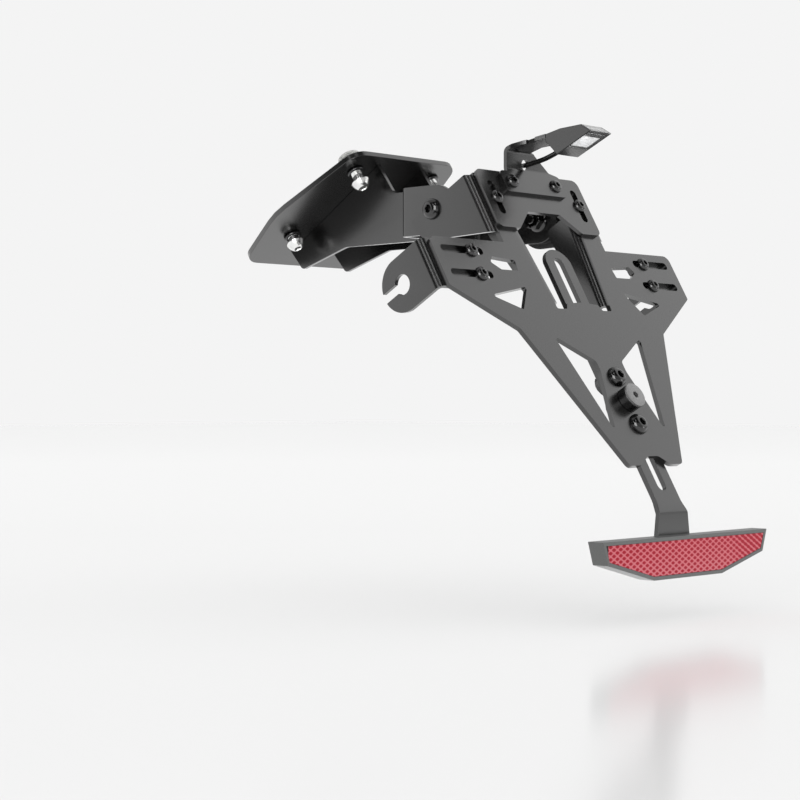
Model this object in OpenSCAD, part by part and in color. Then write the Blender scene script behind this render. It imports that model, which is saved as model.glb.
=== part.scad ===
// Motorbike tail tidy: a plate under the tail carries two arms, and the number-plate carrier
// hangs from them on two pivot bolts. The carrier holds the indicators, the plate light and
// a slotted arm with the rear reflector.
// X is to the right seen from behind, Y is forward and Z is up. The origin is the middle of
// the four tail bolts, on the top face of the tail plate.

/* [Setting] */
// Lean of the carrier: its top is this many degrees forward of upright
carrier_lean = 30; // [15:1:45]
// Slope of the tail plate, front edge low, in degrees
seat_lean = 32.4; // [26:0.2:38]
// Pivot line behind the middle of the tail bolts
pivot_back = 98.4; // [96:0.2:102]
// Pivot line below the middle of the tail bolts
pivot_drop = 13.2; // [12:0.2:14]
// Upper indicator slots below the pivot line, measured along the carrier
pivot_rise = 46.3; // [44:0.1:50]
// Rear face of the carrier behind the pivot line
pivot_depth = 29.7; // [27:0.1:33]

/* [Sheets] */
// Thickness of the carrier, side arms, indicator brackets and reflector arm
sheet_t = 2.5; // [2:0.1:3]
// Thickness of the tail plate
seat_t = 3; // [2.5:0.1:4]
// Thickness of the light plate and light bracket
light_t = 2; // [1.5:0.1:2.2]
// Inside radius of every fold
fold_r = 1.5; // [1:0.1:2]

/* [Tail plate] */
// Width at the rear edge, before its corners are rounded
seat_rear_w = 80.4; // [77:0.2:86]
// Greatest width, towards the front
seat_wide_w = 108.8; // [105:0.2:114]
// Width at the front edge, before its corners are rounded
seat_front_w = 89.6; // [86:0.2:96]
// Rear edge behind the middle of the tail bolts
seat_rear = 43.8; // [42:0.2:46]
// Widest line in front of the middle of the tail bolts
seat_wide = 15; // [10:0.5:20]
// Front edge in front of the middle of the tail bolts
seat_front = 57.6; // [54:0.2:62]
// Radius of the corners
seat_corner = 11; // [8:0.5:12]
// Tail bolt spacing across
bolt_across = 60; // [56:0.5:64]
// Tail bolt spacing along the slope
bolt_along = 60; // [56:0.5:62]

/* [Side arms] */
// Width over the two webs
web_w = 37; // [34:0.5:40]
// Web height at its rear end, equal to the lug's height
lug_h = 25.5; // [24:0.5:28]
// Front of the jog between web and lug, in front of the pivot line
jog_front = 25.5; // [24:0.5:30]
// Underside of the webs reaches forward of the pivot line to here
web_front = 126; // [120:0.5:130]
// Lowest point of the webs below the pivot line
web_drop = 24; // [22:0.5:27]

/* [Carrier] */
// Width over the two side flanges
head_w = 90; // [88:0.5:94]
// Top edge above the upper indicator slots
head_top = 49; // [47.5:0.25:50]
// Half height of the side flanges, and the radius of their round ends
flange_r = 15.8; // [15:0.1:17]
// Bottom edge of the flanges at the carrier, below the pivot line
flange_foot = 13.8; // [13:0.1:14.5]
// Width over the wings
wing_w = 192.4; // [190:0.2:200]
// Top edge of the wings above the upper slots
wing_top = 6.8; // [6:0.1:7.5]
// Lower corner of a wing below the upper slots
wing_low = 21; // [20:0.2:23]
// Half width where wing and tapered frame meet
waist_x = 58; // [56:0.2:60]
// Where wing and tapered frame meet, below the upper slots
waist_y = 44.4; // [43:0.2:46]
// Bottom edge below the upper slots
foot_y = 121.3; // [118:0.1:123]
// Half width of the bottom edge
foot_x = 21.4; // [20:0.1:23]
// Side of the centre opening at the indicator slots, in from the head's outer face
mouth_in = 23.8; // [23:0.1:24.5]
// The centre opening is narrower at its foot by this much on each side
mouth_taper = 3.2; // [2:0.1:4]
// Foot of the centre opening below the upper slots
mouth_foot = 27.5; // [26:0.1:29]
// Top of the centre opening above the upper slots
mouth_top = 30; // [28:0.1:31]
// Depth of the two stiffening flanges beside the opening, at their top
stiffener_d = 18; // [16:0.5:21]
// Depth of the stiffening flanges at their foot
stiffener_low_d = 11; // [9:0.5:15]
// Middle of the indicator slots, in from the tip of the wing
slot_in = 20.2; // [19:0.1:22]
// Length of the indicator slots, end to end
slot_l = 30.3; // [28:0.1:32]
// Lower indicator slots below the upper ones
slot_pitch = 13.7; // [13:0.1:14.5]

/* [Bolts] */
// Diameter of the large bolts
big_d = 6; // [5.6:0.1:6]
// Diameter of the small bolts
small_d = 4; // [3.6:0.1:4]
// Width of a bolt hole or slot over its bolt
hole_gap = 0.4; // [0.3:0.05:0.6]
// Head diameter of the large bolts
big_head_d = 11; // [10.5:0.1:11.5]
// Head diameter of the small bolts
small_head_d = 7.6; // [7.2:0.1:8]
// Upper reflector-arm bolt below the upper indicator slots
clamp_y = 71.2; // [70:0.1:72]
// Spacing of the two reflector-arm bolts
clamp_pitch = 27.2; // [26.5:0.1:28]
// Heads of the front tail bolts below the underside of the tail plate
tail_hang = 5; // [3:0.5:8]
// Heads of the rear tail bolts below the underside of the tail plate
rear_hang = 7.5; // [3:0.5:8]

/* [Buffer] */
// Diameter of the rubber buffer
buffer_d = 13; // [12:0.1:13.4]
// Height of the buffer with its screw head
buffer_h = 6.2; // [5.5:0.1:7]
// Height of the flat screw head
buffer_head_h = 1.2; // [1:0.1:1.5]

/* [Indicator brackets] */
// Outer face of the bracket flange beyond the tip of the wing
bracket_over = 3.8; // [3:0.1:6]
// Bracket bolts, in from the tip of the wing
bracket_bolt_in = 26.8; // [25.2:0.1:28]
// Width of the bracket
bracket_h = 27.4; // [26:0.1:29]
// Inner end of the bracket's tab past its bolts
bracket_tab = 7.9; // [7.4:0.1:9.4]
// Middle of the bracket below the upper slots
bracket_y = 6.4; // [6:0.1:7.4]
// Indicator hole in front of the carrier's rear face
eye_depth = 23.7; // [22:0.1:26]
// Diameter of the indicator hole
eye_d = 10; // [9:0.1:11]
// Width of the mouth that opens the hole to the edge
eye_mouth = 5; // [4:0.1:6]

/* [Light] */
// Side edge of the light plate, in from the head's outer face
light_margin = 4; // [3:0.1:5]
// Top edge of the light plate above the upper indicator slots
light_top = 50.4; // [50:0.1:52]
// Bottom edge of the light plate above the upper indicator slots
light_low = 15.2; // [15:0.1:17]
// Light-plate slots, in from the head's outer face
light_slot_in = 11.8; // [11:0.1:12.5]
// Length of the light-plate slots
light_slot_l = 20.4; // [18:0.1:21]
// Middle of the light-plate slots above the upper indicator slots
light_slot_y = 33.4; // [32:0.1:34]
// Side edge of the light bracket's foot, in from the light-plate slots
foot_in = 9; // [8.1:0.1:10]
// Bottom edge of the light bracket above the upper indicator slots
foot_low = 36.6; // [36:0.1:38]
// Light-bracket screws, in from the side edge of the foot
foot_screw_in = 6.9; // [6.2:0.1:7.7]
// Light-bracket screws above the upper indicator slots
foot_screw_y = 43.2; // [42.5:0.1:44]
// Left edge of the light bracket's neck, in from the side edge of the foot
neck_in = 7.2; // [6.2:0.1:7.7]
// Height of the light arm's fold above the pivot line
arm_fold = 30.5; // [29.5:0.1:32]
// Width of the lamp
lamp_w = 17.6; // [16:0.1:19]
// Wall of the lamp housing
lamp_wall = 1.2; // [1:0.1:1.6]

/* [Reflector] */
// Width of the reflector arm
strap_w = 19.8; // [19:0.1:21]
// Width of the long slot in the reflector arm
strap_slot_w = 6.6; // [6.5:0.05:7]
// Upper end of the reflector arm above the upper indicator slots
strap_top = 6.7; // [6:0.1:8]
// Upper end of the long slot above the upper indicator slots
strap_slot_top = 1.5; // [1.5:0.1:3]
// Fold of the reflector arm below the upper indicator slots
strap_fold = 146.2; // [145:0.1:150]
// Length of the upright tab under the fold
tab_l = 22; // [20:0.5:24]
// Width over the reflector's top edge
reflector_w = 135; // [132:0.5:140]
// Width of the reflector's bottom edge
reflector_low_w = 56; // [54:0.5:60]
// Height of the reflector
reflector_h = 20.2; // [19:0.1:22]
// Depth of the reflector housing
reflector_d = 9; // [8:0.1:10]
// Top edge of the reflector below the fold of its arm
reflector_drop = 11; // [10:0.1:12]
// Rim around the lens
rim_w = 1.8; // [1.5:0.1:2.2]
// Thickness of the lens
lens_t = 2; // [1.5:0.1:2.5]

/* [Hidden] */
$fn = 48;

function unit(v) = v / norm(v);
function left_of(v) = [-v[1], v[0]];
function turn(a, b) = a[0] * b[1] - a[1] * b[0];

// The arc that replaces corner b, between its neighbours a and c
function arc(a, b, c, r) =
    let (
        u = unit(a - b),
        w = unit(c - b),
        half = acos(u * w) / 2,
        centre = b + unit(u + w) * r / sin(half),
        from = b + u * r / tan(half) - centre,
        to = b + w * r / tan(half) - centre,
        start = atan2(from[1], from[0]),
        sweep = (atan2(to[1], to[0]) - start + 540) % 360 - 180,
        n = max(2, ceil(abs(sweep) / 15))
    )
    [for (k = [0:n]) centre + r * [cos(start + sweep * k / n), sin(start + sweep * k / n)]];

// Polygon points from corners [x, y, radius]
function rounded(p) =
    let (m = len(p), at = function(i) [p[i % m][0], p[i % m][1]])
    [for (i = [0:m - 1])
        for (q = p[i][2] > 0 ? arc(at(i + m - 1), at(i), at(i + 1), p[i][2]) : [at(i)]) q];

// Corners of a whole outline from those of its right half
function both(half) =
    concat(half, [for (i = [len(half) - 1:-1:0]) if (half[i][0] > 0.01) [-half[i][0], half[i][1], half[i][2]]]);

// The inner corner of a folded sheet of thickness t beside the fold b of its outer line
function fold_in(a, b, c, t) =
    let (u = left_of(unit(b - a)), w = left_of(unit(c - b)))
    b + (u + w) * t / (1 + u * w);

// Section of a folded sheet: path is one face, and the sheet lies to its left
function folded(path, t, r) =
    let (
        last = len(path) - 1,
        side = [for (i = [1:last - 1]) turn(path[i] - path[i - 1], path[i + 1] - path[i]) > 0 ? 1 : 0],
        first_n = left_of(unit(path[1] - path[0])) * t,
        last_n = left_of(unit(path[last] - path[last - 1])) * t
    )
    rounded(concat(
        [[path[0][0], path[0][1], 0]],
        [for (i = [1:last - 1]) [path[i][0], path[i][1], side[i - 1] == 1 ? r + t : r]],
        [[path[last][0], path[last][1], 0]],
        [[path[last][0] + last_n[0], path[last][1] + last_n[1], 0]],
        [for (i = [last - 1:-1:1])
            let (q = fold_in(path[i - 1], path[i], path[i + 1], t))
            [q[0], q[1], side[i - 1] == 1 ? r : r + t]],
        [[path[0][0] + first_n[0], path[0][1] + first_n[1], 0]]
    ));

// Draws its child with the middle of the tail bolts as origin, Y down the slope to the front
module on_seat() {
    rotate([-seat_lean, 0, 0]) children();
}

// Draws its child with the pivot line as origin, level
module at_pivot() {
    translate([0, -pivot_back, -pivot_drop]) children();
}

// Draws its child on the carrier: Y up the sheet, Z out of the rear face
module on_carrier() {
    at_pivot() rotate([90 - carrier_lean, 0, 0]) translate([0, -pivot_rise, pivot_depth]) children();
}

// Extrudes a side view, drawn as [forward, up], from x0 to x1
module side_view(x0, x1) {
    translate([x0, 0, 0]) rotate([90, 0, 90]) linear_extrude(x1 - x0) children();
}

// Straight slot with round ends, along X
module slot(length, width) {
    square([length - width, width], center = true);
    for (s = [-1, 1])
        translate([s * (length - width) / 2, 0]) circle(d = width);
}

// Button head with a hexagon socket: seat at z = 0, bolt along -Z
module button_bolt(d, head_d, length, rise = 0.3) {
    head_h = head_d * rise;
    socket = d * 0.6;
    difference() {
        union() {
            rotate_extrude() polygon(concat(
                [[0, 0], [head_d / 2, 0]],
                [for (a = [10:16:74]) [
                    socket * 0.62 + (head_d / 2 - socket * 0.62) * cos(a),
                    head_h * sin(a)
                ]],
                [[socket * 0.62, head_h], [0, head_h]]
            ));
            translate([0, 0, -length]) cylinder(d = d, h = length);
        }
        translate([0, 0, head_h * 0.25]) cylinder(d = socket / cos(30), h = head_h, $fn = 6);
    }
}

// Hexagon nut with a round flange: flange face at z = 0, nut along -Z
module flange_nut(d, gap = 0.06) {
    across = d * 5 / 3;
    height = d * 0.95;
    difference() {
        union() {
            translate([0, 0, -d * 0.2]) cylinder(d = d * 2.2, h = d * 0.2);
            translate([0, 0, -height]) cylinder(d = across / cos(30), h = height, $fn = 6);
        }
        translate([0, 0, -height - 1]) cylinder(d = d + 2 * gap, h = height + 2);
    }
}

// Tail plate and side arms

tail_bolt_at = [for (x = [-1, 1], y = [-1, 1]) [x * bolt_across / 2, y * bolt_along / 2]];

module tail_plate() {
    color("dimgray") on_seat() difference() {
        translate([0, 0, -seat_t]) linear_extrude(seat_t) polygon(rounded(both([
            [0, seat_front, 0],
            [seat_front_w / 2, seat_front, seat_corner],
            [seat_wide_w / 2, seat_wide, seat_corner * 3],
            [seat_rear_w / 2, -seat_rear, seat_corner],
            [0, -seat_rear, 0]
        ])));
        for (p = tail_bolt_at)
            translate([p[0], p[1], -seat_t - 1]) cylinder(d = big_d + hole_gap, h = seat_t + 2);
    }
}

lug_x = head_w / 2 - sheet_t;

module side_arm() {
    difference() {
        intersection() {
            // Plan of the sheet: lug, jog and web
            translate([0, 0, -200]) linear_extrude(400) polygon(folded([
                [lug_x, -30],
                [lug_x, jog_front],
                [web_w / 2, jog_front],
                [web_w / 2, 160]
            ], sheet_t, fold_r));
            // Side view
            side_view(0, head_w) union() {
                circle(r = lug_h / 2);
                polygon(rounded([
                    [0, -lug_h / 2, 0],
                    [web_front - 35, -lug_h / 2 - 0.4, 12],
                    [web_front, -web_drop, 3],
                    [web_front + 30, 10, 0],
                    [web_front, 80, 0],
                    [jog_front + 43, 35, 0],
                    [jog_front + 28, lug_h / 2 + 1.6, 6],
                    [jog_front + 16, lug_h / 2 + 1.6, 2],
                    [jog_front + 14, lug_h / 2, 2],
                    [0, lug_h / 2, 0]
                ]));
            }
            // The web's upper edge seats against the underside of the tail plate
            translate([0, pivot_back, pivot_drop]) on_seat()
                translate([0, -150, -seat_t - 200]) cube([head_w, 300, 200]);
        }
        rotate([0, 90, 0]) cylinder(d = big_d + hole_gap, h = head_w);
    }
}

module side_arm_left() {
    color("dimgray") at_pivot() mirror([1, 0, 0]) side_arm();
}

module side_arm_right() {
    color("dimgray") at_pivot() side_arm();
}

// Tail fasteners

tail_nut_h = big_d * 0.95;
tail_washer_t = 1;
ring_t = 1.8;

module tail_bolts() {
    color("silver") on_seat() for (p = tail_bolt_at)
        let (hang = p[1] > 0 ? tail_hang : rear_hang)
            translate([p[0], p[1], -seat_t - hang]) mirror([0, 0, 1])
                button_bolt(big_d, big_head_d - 0.5, hang + seat_t + tail_nut_h + tail_washer_t + 1, 0.4);
}

// Rubber rings that keep the bolts in the tail plate
module tail_o_rings() {
    color("black") on_seat() for (p = tail_bolt_at)
        translate([p[0], p[1], -seat_t - ring_t / 2]) rotate_extrude()
            translate([big_d / 2 + ring_t / 2 + 0.03, 0]) circle(d = ring_t, $fn = 24);
}

module tail_washers() {
    color("white") on_seat() for (p = tail_bolt_at)
        translate([p[0], p[1], tail_nut_h]) difference() {
            cylinder(d = big_d * 2.1, h = tail_washer_t);
            translate([0, 0, -1]) cylinder(d = big_d + 0.1, h = tail_washer_t + 2);
        }
}

module tail_nuts() {
    color("silver") on_seat() for (p = tail_bolt_at)
        translate([p[0], p[1], 0]) mirror([0, 0, 1]) flange_nut(big_d);
}

// Carrier

mouth_mid = head_w / 2 - mouth_in;
slot_x = wing_w / 2 - slot_in;
stiffener_a = atan(mouth_taper / mouth_foot);
fold_out = fold_r + sheet_t;
clamp_at = [-clamp_y, -clamp_y - clamp_pitch];
buffer_y = -clamp_y - clamp_pitch / 2;

// Half width of the centre opening at height y, to the inner face of the stiffeners
function mouth_x(y) = mouth_mid + y * tan(stiffener_a);

// Rear view of the flat sheet
module carrier_outline() {
    polygon(rounded(both([
        [0, head_top - 10, 0],
        [head_w / 2 - 7.6, head_top - 10, 0],
        [head_w / 2 - 7.6, wing_top, 1.8],
        [wing_w / 2, wing_top, 4],
        [wing_w / 2, -wing_low, 1.6],
        [waist_x, -waist_y, 2.5],
        [foot_x, -foot_y, 3],
        [foot_x * 0.55, -foot_y, 8],
        [foot_x * 0.2, -foot_y + 4.9, 5],
        [0, -foot_y + 4.9, 0]
    ])));
}

// Windows that lighten the wings and the tapered frame
module carrier_windows() {
    for (s = [0, 1]) mirror([s, 0, 0]) {
        // Window for a cable tie
        polygon(rounded([
            [39, -4, 0.8],
            [55.4, -2.6, 0.8],
            [58.4, -6, 1],
            [52.4, -10.1, 2],
            [39.9, -10.1, 0.8]
        ]));
        // Small triangle
        polygon(rounded([[38.6, -19.4, 1], [69, -25.6, 1], [49, -33.2, 1.2]]));
        // Long triangle
        polygon(rounded([
            [waist_x - 22.8, -waist_y - 3.2, 1.2],
            [foot_x - 11, -clamp_y + 9.2, 2.4],
            [foot_x - 11, -clamp_y + 3.2, 6],
            [foot_x - 0.8, -foot_y + 18.3, 1.2]
        ]));
    }
}

// The head: a channel whose sides are the hinge flanges
module carrier_head() {
    intersection() {
        on_carrier() translate([0, head_top, 0]) rotate([90, 0, 0]) linear_extrude(head_top)
            polygon(folded([
                [head_w / 2, -90],
                [head_w / 2, 0],
                [-head_w / 2, 0],
                [-head_w / 2, -90]
            ], sheet_t, fold_r));
        union() {
            at_pivot() side_view(-head_w, head_w) union() {
                circle(r = flange_r);
                polygon([
                    [0, flange_r],
                    [-70, flange_r],
                    [-70, -flange_foot],
                    [-pivot_depth - 16, -flange_foot],
                    [0, -flange_r]
                ]);
            }
            on_carrier() translate([-head_w / 2 + fold_out, 0, -sheet_t])
                cube([head_w - 2 * fold_out, head_top, sheet_t]);
        }
    }
}

// One stiffening flange, folded forward from the right edge of the opening
module stiffener() {
    long = mouth_top + mouth_foot;
    translate([mouth_x(-mouth_foot), -mouth_foot, 0]) rotate([0, 0, -stiffener_a]) intersection() {
        translate([0, long + 1, 0]) rotate([90, 0, 0]) linear_extrude(long + 2)
            polygon(folded([[fold_out + 2, 0], [0, 0], [0, -stiffener_d - 1]], sheet_t, fold_r));
        side_view(-1, fold_out + 3) polygon(rounded([
            [0, 1, 0],
            [0, -stiffener_low_d, 3],
            [long, -stiffener_d, 3],
            [long, 1, 0]
        ]));
    }
}

module carrier() {
    color("dimgray") difference() {
        union() {
            carrier_head();
            on_carrier() difference() {
                translate([0, 0, -sheet_t]) linear_extrude(sheet_t) difference() {
                    carrier_outline();
                    carrier_windows();
                    for (s = [-1, 1], y = [0, -slot_pitch])
                        translate([s * slot_x, y]) slot(slot_l, small_d + hole_gap);
                }
            }
        }
        on_carrier() {
            // Centre opening with relief cuts at its lower corners
            translate([0, 0, -sheet_t - 1]) linear_extrude(sheet_t + 2) polygon(rounded(both([
                [0, mouth_top, 0],
                [mouth_x(mouth_top) + fold_out, mouth_top, 0],
                [mouth_x(-mouth_foot) + fold_out, -mouth_foot - 4, 1.2],
                [mouth_x(-mouth_foot) - 3.5, -mouth_foot - 4, 1.2],
                [mouth_x(-mouth_foot) - 5.5, -mouth_foot - 0.6, 1],
                [0, -mouth_foot + 0.4, 0]
            ])));
            for (y = clamp_at)
                translate([0, y, -sheet_t - 1]) cylinder(d = big_d + hole_gap, h = sheet_t + 2);
            translate([0, buffer_y, -sheet_t - 1]) cylinder(d = big_d + hole_gap, h = sheet_t + 2);
            for (s = [-1, 1])
                translate([s * light_slot_x, light_slot_y, -sheet_t - 1])
                    cylinder(d = small_d + hole_gap, h = sheet_t + 2);
        }
        at_pivot() translate([-head_w, 0, 0]) rotate([0, 90, 0]) cylinder(d = big_d + hole_gap, h = 2 * head_w);
    }
    color("dimgray") on_carrier() for (s = [0, 1]) mirror([s, 0, 0]) stiffener();
}

module pivot_bolts() {
    color("black") at_pivot() for (s = [-1, 1])
        rotate([0, s * 90, 0]) translate([0, 0, head_w / 2])
            button_bolt(big_d, big_head_d, 2 * sheet_t + big_d * 0.95 + 1.5);
}

module pivot_nuts() {
    color("black") at_pivot() for (s = [-1, 1])
        rotate([0, s * 90, 0]) translate([0, 0, lug_x - sheet_t]) flange_nut(big_d);
}

module clamp_bolts() {
    color("black") on_carrier() for (y = clamp_at)
        translate([0, y, 0]) button_bolt(big_d, big_head_d, 2 * sheet_t + big_d * 0.95 + 1.5);
}

module clamp_nuts() {
    color("black") on_carrier() for (y = concat(clamp_at, [buffer_y]))
        translate([0, y, -2 * sheet_t]) flange_nut(big_d);
}

module buffer() {
    color("black") on_carrier() translate([0, buffer_y, 0]) difference() {
        cylinder(d = buffer_d, h = buffer_h - buffer_head_h);
        translate([0, 0, -1]) cylinder(d = big_d + hole_gap, h = buffer_h + 2);
    }
}

module buffer_screw() {
    long = buffer_h - buffer_head_h + 2 * sheet_t + big_d * 0.95 + 1.5;
    color("gray") on_carrier() translate([0, buffer_y, buffer_h - buffer_head_h]) difference() {
        union() {
            cylinder(d = buffer_d, h = buffer_head_h);
            translate([0, 0, -long]) cylinder(d = big_d, h = long);
        }
        translate([0, 0, buffer_head_h * 0.3]) cylinder(d = big_d * 0.55, h = buffer_head_h, $fn = 6);
    }
}

// Plate light

light_w = head_w - 2 * light_margin;
light_slot_x = head_w / 2 - light_slot_in;
foot_w = 2 * (light_slot_x - foot_in);
foot_screw_x = foot_w / 2 - foot_screw_in;
neck_left = foot_w / 2 - neck_in;
// Play under the bolt heads that lets the light plate slide
slide_gap = 0.03;

module light_plate_bolts() {
    color("black") on_carrier() for (s = [-1, 1])
        translate([s * light_slot_x, light_slot_y, light_t + slide_gap])
            button_bolt(small_d, small_head_d, light_t + slide_gap + sheet_t + small_d * 0.95 + 1);
}

module light_plate_nuts() {
    color("black") on_carrier() for (s = [-1, 1])
        translate([s * light_slot_x, light_slot_y, -sheet_t]) flange_nut(small_d);
}

module light_plate() {
    color("dimgray") on_carrier() difference() {
        linear_extrude(light_t) difference() {
            polygon(rounded(both([
                [0, light_top, 0],
                [light_w / 2, light_top, 4],
                [light_w / 2, light_low, 3.5],
                [25, light_low, 1.5],
                [12.6, light_low + 11, 0.6],
                [0, light_low + 11, 0]
            ])));
            for (s = [-1, 1])
                translate([s * light_slot_x, light_slot_y]) rotate(90) slot(light_slot_l, small_d + hole_gap);
        }
        for (s = [-1, 1])
            translate([s * foot_screw_x, foot_screw_y, -1]) cylinder(d = small_d + 0.1, h = light_t + 2);
    }
}

// Side view of the bracket from the pivot line, as [forward, up]
up_dir = [sin(carrier_lean), cos(carrier_lean)];
out_dir = [-cos(carrier_lean), sin(carrier_lean)];
foot_face = out_dir * (pivot_depth + 2 * light_t);
foot_start = foot_face + up_dir * (foot_low - pivot_rise);
foot_bend = foot_face + up_dir * (light_top + 1.2 - pivot_rise);
arm_start = [foot_bend[0], arm_fold];
arm_slope = 16;
lamp_joint = [arm_start[0] - 19, arm_fold + 19 * tan(arm_slope) + light_t];
arm_end = arm_start + 25 * [-cos(arm_slope), sin(arm_slope)];

// The arm's fold out of the carrier's rear face
wall_off = arm_start * out_dir - pivot_depth;

// Hole for the lead in the upright wall, as [right, up]
lead_hole_at = [-2.1, 24.2];
lead_hole_d = 6;

module light_bracket() {
    color("dimgray") difference() {
        intersection() {
            at_pivot() side_view(-foot_w, foot_w)
                polygon(folded([arm_end, arm_start, foot_bend, foot_start], light_t, fold_r));
            union() {
                // Foot and neck, seen square to the sheet
                on_carrier() translate([0, 0, -30]) linear_extrude(30 + wall_off) polygon(rounded([
                    [-foot_w / 2, foot_low, 1.5],
                    [foot_w / 2, foot_low, 3],
                    [foot_w / 2, light_top - 1, 3],
                    [neck_left, light_top + 1, 2],
                    [neck_left * 0.24, light_top + 9, 1],
                    [neck_left * 0.12, light_top + 11, 1],
                    [neck_left * 0.12, light_top + 22, 0],
                    [-neck_left, light_top + 22, 0],
                    [-neck_left, light_top - 0.6, 1],
                    [-foot_w / 2, light_top - 0.6, 3]
                ]));
                // Arm, seen from above
                at_pivot() translate([0, 0, arm_fold - 1]) linear_extrude(20) polygon([
                    [-neck_left, arm_start[0] + 3],
                    [-neck_left, arm_start[0] - 3.5],
                    [-neck_left * 0.78, arm_start[0] - 10],
                    [-neck_left * 0.66, arm_start[0] - 10],
                    [-neck_left * 0.58, arm_start[0] - 14],
                    [-neck_left * 0.66, arm_start[0] - 14],
                    [-lamp_w / 2, lamp_joint[0] + 0.1],
                    [lamp_w / 2, lamp_joint[0] + 0.1],
                    [lamp_w / 2, lamp_joint[0] + 4],
                    [neck_left * 0.1, arm_start[0] - 8],
                    [neck_left * 0.1, arm_start[0] + 3]
                ]);
            }
        }
        on_carrier() for (s = [-1, 1])
            translate([s * foot_screw_x, foot_screw_y, 0]) cylinder(d = small_d + hole_gap, h = 3 * light_t);
        at_pivot() translate([lead_hole_at[0], -40, lead_hole_at[1]])
            rotate([-90, 0, 0]) cylinder(d = lead_hole_d, h = 40);
    }
}

module light_bracket_screws() {
    color("black") on_carrier() for (s = [-1, 1])
        translate([s * foot_screw_x, foot_screw_y, 2 * light_t]) button_bolt(small_d, small_head_d, 2 * light_t);
}

// Side view of the lamp from its joint with the arm, as [forward, up]
lamp_top = [[0, 0], [-9.4, 2], [-23, 2.8]];
lamp_tip = [-29.5, -1];
lamp_low = [-7.5, -11.2];
lamp_front = [[-4, -7.7], [0, -4]];
lamp_under = unit(lamp_tip - lamp_low);
lens_start = lamp_low + lamp_under * 8;

// The clear lens lies in the sloping underside and turns up over the rear end
module lamp_lens_shape() {
    side_view(-lamp_w / 2 + lamp_wall, lamp_w / 2 - lamp_wall) translate(lamp_joint) polygon([
        lens_start,
        lamp_tip,
        lamp_top[2],
        lamp_top[2] + [3, -0.2],
        lamp_tip + [4.2, 1],
        lens_start - 2 * left_of(lamp_under)
    ]);
}

module lamp_housing() {
    color("black") at_pivot() difference() {
        side_view(-lamp_w / 2, lamp_w / 2) translate(lamp_joint)
            polygon(concat(lamp_top, [lamp_tip, lamp_low], lamp_front));
        lamp_lens_shape();
        translate(lead_route[0]) rotate([0, acos(lead_start[2]), atan2(lead_start[1], lead_start[0])])
            cylinder(d = lead_d + 0.2, h = 12);
    }
}

module lamp_window() {
    color("white") at_pivot() lamp_lens_shape();
}

// Lamp lead

lead_d = 2.6;
// The lead's route from the lamp through its hole in the wall, as offsets from that hole
lead_route = [for (p = [
    [-4.1, -27.4, 5.2], [-3.6, -25, 4.4], [-3.1, -22.6, 3.6], [-2.4, -18.6, 2.6], [-1.7, -14.5, 1.7],
    [-1, -10.5, 1.1], [-0.4, -6.5, 0.6], [0, -3, 0.1], [0.1, 0, -0.2], [0.2, 2, -0.3], [0.3, 4, -0.4]
]) [lead_hole_at[0], arm_start[0], lead_hole_at[1]] + p];
lead_start = unit(lead_route[2] - lead_route[0]);

// Ring of points around a route at point i
function ring(route, i, r, n) =
    let (
        t = unit(route[min(i + 1, len(route) - 1)] - route[max(i - 1, 0)]),
        side = unit(cross(t, [0.3, 0.2, 1])),
        up = cross(side, t)
    )
    [for (k = [0:n - 1]) route[i] + r * (side * cos(360 * k / n) + up * sin(360 * k / n))];

module tube(route, r, n = 8) {
    rows = len(route);
    polyhedron(
        points = [for (i = [0:rows - 1]) each ring(route, i, r, n)],
        faces = concat(
            [[for (k = [0:n - 1]) k]],
            [for (i = [0:rows - 2], k = [0:n - 1])
                [i * n + k, (i + 1) * n + k, (i + 1) * n + (k + 1) % n, i * n + (k + 1) % n]],
            [[for (k = [n - 1:-1:0]) (rows - 1) * n + k]]
        )
    );
}

module lamp_lead() {
    color("black") at_pivot() tube(lead_route, lead_d / 2);
}

// Indicator brackets

bracket_out = bracket_h / 2;
bracket_x = wing_w / 2 + bracket_over;
bracket_bolt_x = wing_w / 2 - bracket_bolt_in;
bracket_in = bracket_bolt_x - bracket_tab;

module indicator_bracket() {
    on_carrier() difference() {
        intersection() {
            translate([0, bracket_out - bracket_y, 0]) rotate([90, 0, 0]) linear_extrude(bracket_h)
                polygon(folded([
                    [bracket_x, -sheet_t - 60],
                    [bracket_x, -sheet_t],
                    [bracket_in, -sheet_t]
                ], sheet_t, fold_r));
            // Side view of the flange: a tongue with a round end
            translate([0, -bracket_y, -eye_depth]) rotate([0, 90, 0]) linear_extrude(bracket_x + 5) union() {
                circle(r = bracket_out);
                translate([-40, -bracket_out]) square([40, bracket_h]);
            }
        }
        translate([bracket_x - 10, -bracket_y, -eye_depth]) rotate([0, 90, 0]) cylinder(d = eye_d, h = 20);
        translate([bracket_x - 10, -bracket_y - eye_mouth / 2, -eye_depth - 30]) cube([20, eye_mouth, 30]);
        for (y = [0, -slot_pitch])
            translate([bracket_bolt_x, y, -3 * sheet_t]) cylinder(d = small_d + hole_gap, h = 3 * sheet_t);
    }
}

module indicator_bolts() {
    on_carrier() for (y = [0, -slot_pitch]) translate([bracket_bolt_x, y, 0])
        button_bolt(small_d, small_head_d, 2 * sheet_t + small_d * 0.95 + 1);
}

module indicator_nuts() {
    on_carrier() for (y = [0, -slot_pitch]) translate([bracket_bolt_x, y, -2 * sheet_t]) flange_nut(small_d);
}

module indicator_bracket_left() {
    color("dimgray") mirror([1, 0, 0]) indicator_bracket();
}

module indicator_bolts_left() {
    color("black") mirror([1, 0, 0]) indicator_bolts();
}

module indicator_nuts_left() {
    color("black") mirror([1, 0, 0]) indicator_nuts();
}

module indicator_bracket_right() {
    color("dimgray") indicator_bracket();
}

module indicator_bolts_right() {
    color("black") indicator_bolts();
}

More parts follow.
